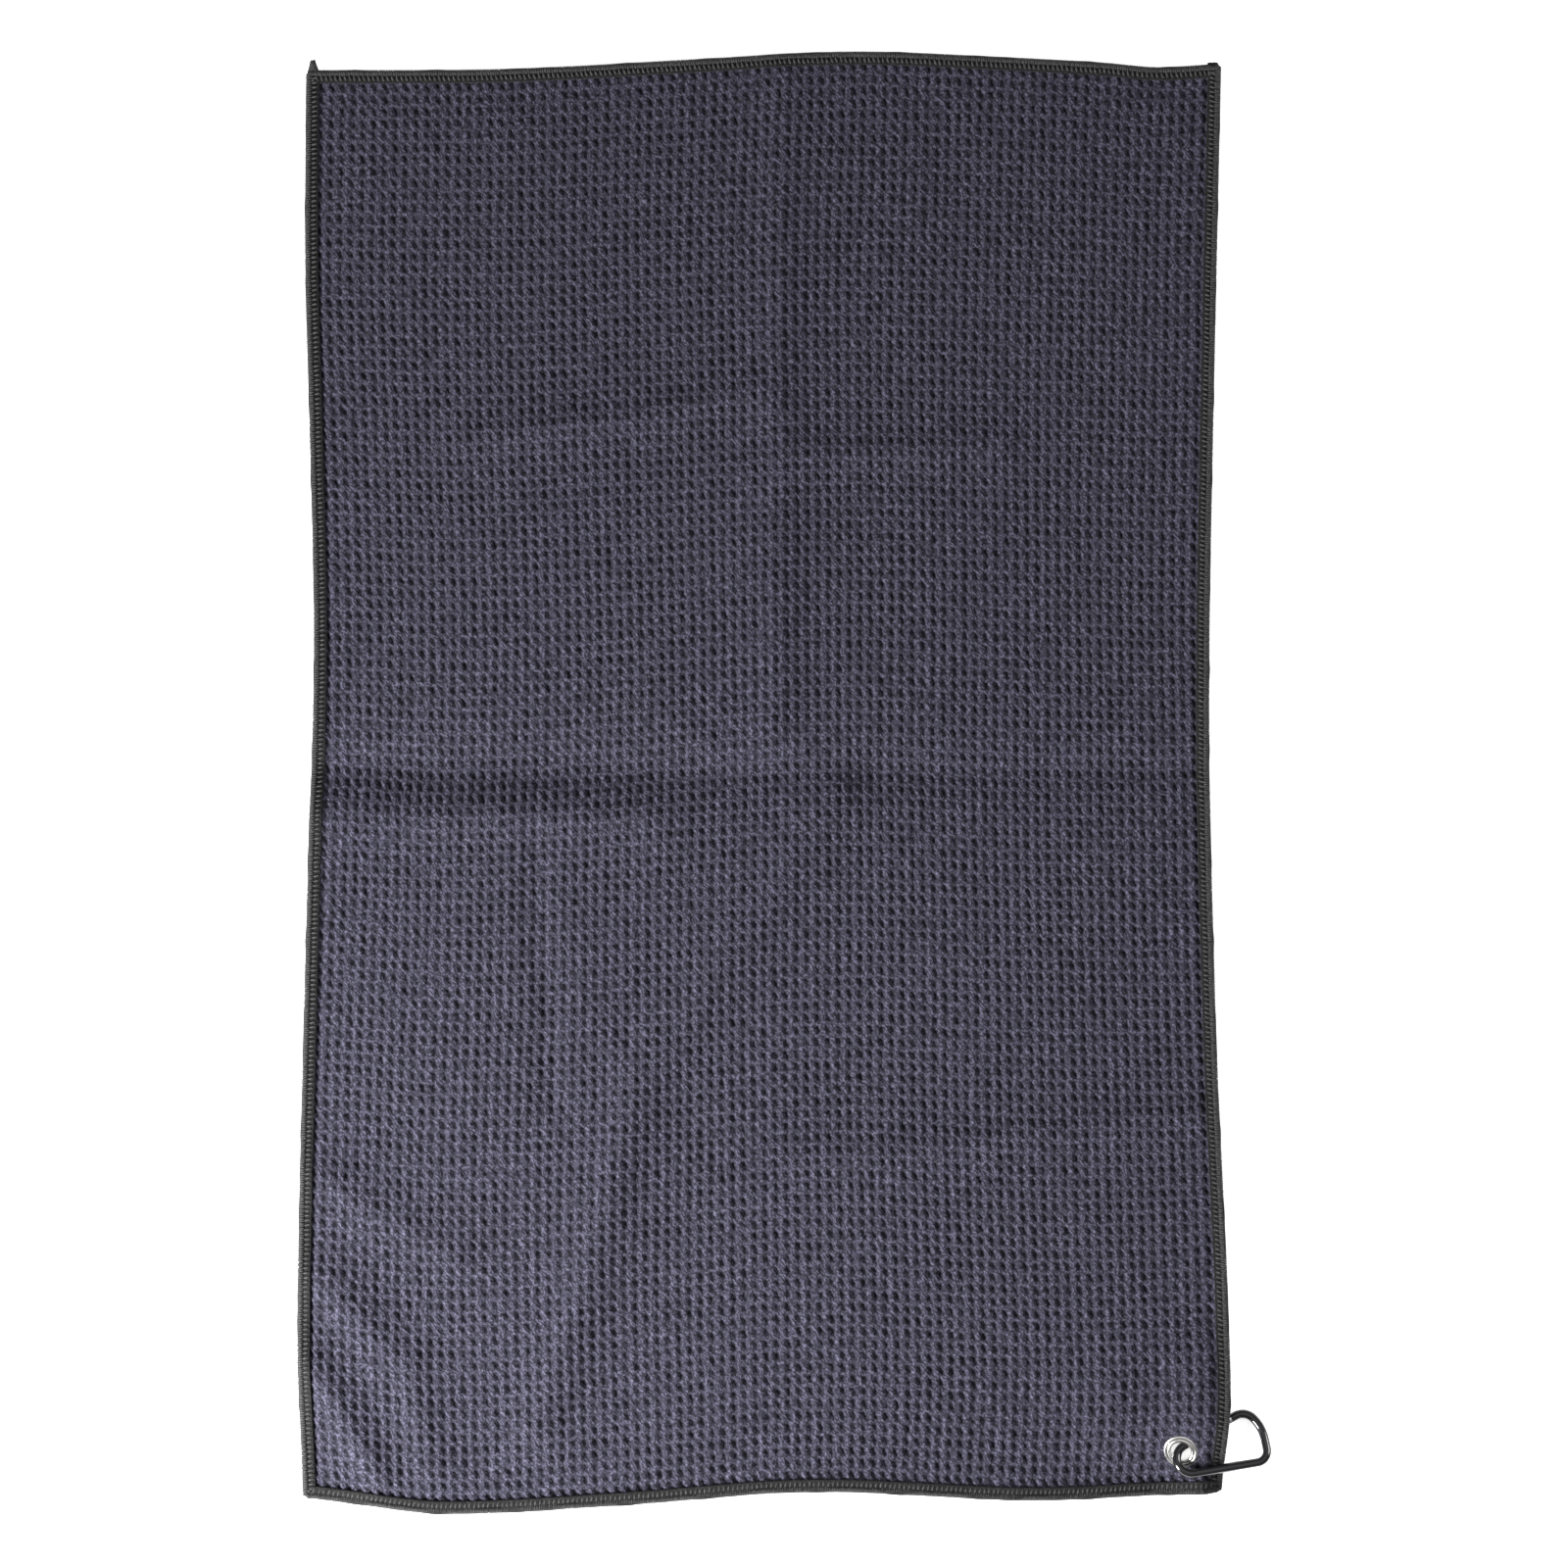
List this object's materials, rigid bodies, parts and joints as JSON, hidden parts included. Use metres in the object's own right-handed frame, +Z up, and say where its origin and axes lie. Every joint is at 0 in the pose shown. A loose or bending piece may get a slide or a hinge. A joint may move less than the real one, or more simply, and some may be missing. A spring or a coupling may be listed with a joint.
{
  "type": "golf towel",
  "caption": "Rectangular waffle-weave towel with overlocked edges, a metal grommet in one corner and a sprung-gate clip threaded through it.",
  "frame": {"origin": "centre of the bounding box in plan, at the level of the surface the towel lies on", "axes": "+Z up out of the towel's face, +Y along the towel's long side, the grommet corner at +X -Y"},
  "size_m": [0.4126, 0.62, 0.0142],
  "materials": {
    "cloth": "slate navy waffle-weave microfibre, matt with a slight nap sheen",
    "hem_thread": "charcoal overlock thread",
    "nickel": "bright nickel plate",
    "black_gloss": "gloss black anodised bar",
    "gate_metal": "polished aluminium",
    "steel": "grey pin steel"
  },
  "bodies": {
    "towel": {"towel_cloth": "cloth", "hem_left": "hem_thread", "hem_right": "hem_thread", "hem_top": "hem_thread", "hem_bottom": "hem_thread", "hem_thread_tail": "hem_thread", "grommet_eyelet": "nickel", "grommet_washer": "nickel"},
    "clip": {"clip_body": "black_gloss", "gate_rivet": "steel"},
    "gate": {"clip_gate": "gate_metal", "gate_latch_pin": "steel", "gate_spring": "steel"},
    "plunger": {"gate_plunger": "steel"}
  },
  "joints": [
    {"name": "clip_swing", "type": "hinge", "parent": "towel", "child": "clip", "pos_m": [0.17587, -0.27709, 0.00527], "axis": [-0.869, -0.4649, 0.1692], "range_deg": [0, 80]},
    {"name": "gate_hinge", "type": "hinge", "parent": "clip", "child": "gate", "pos_m": [0.17587, -0.27709, 0.00527], "axis": [0, -0.342, -0.9397], "range_deg": [0, 16], "stiffness_Nm_per_rad": 0.1, "springref_deg": -20.05},
    {"name": "plunger_slide", "type": "slide", "parent": "gate", "child": "plunger", "axis": [0.869, 0.4649, -0.1692], "range_m": [0, 0.0004], "deforming": ["gate_spring"]}
  ],
  "couplings": [
    {"joint": "plunger_slide", "follows": "gate_hinge", "m_per_rad": 0.0014}
  ]
}
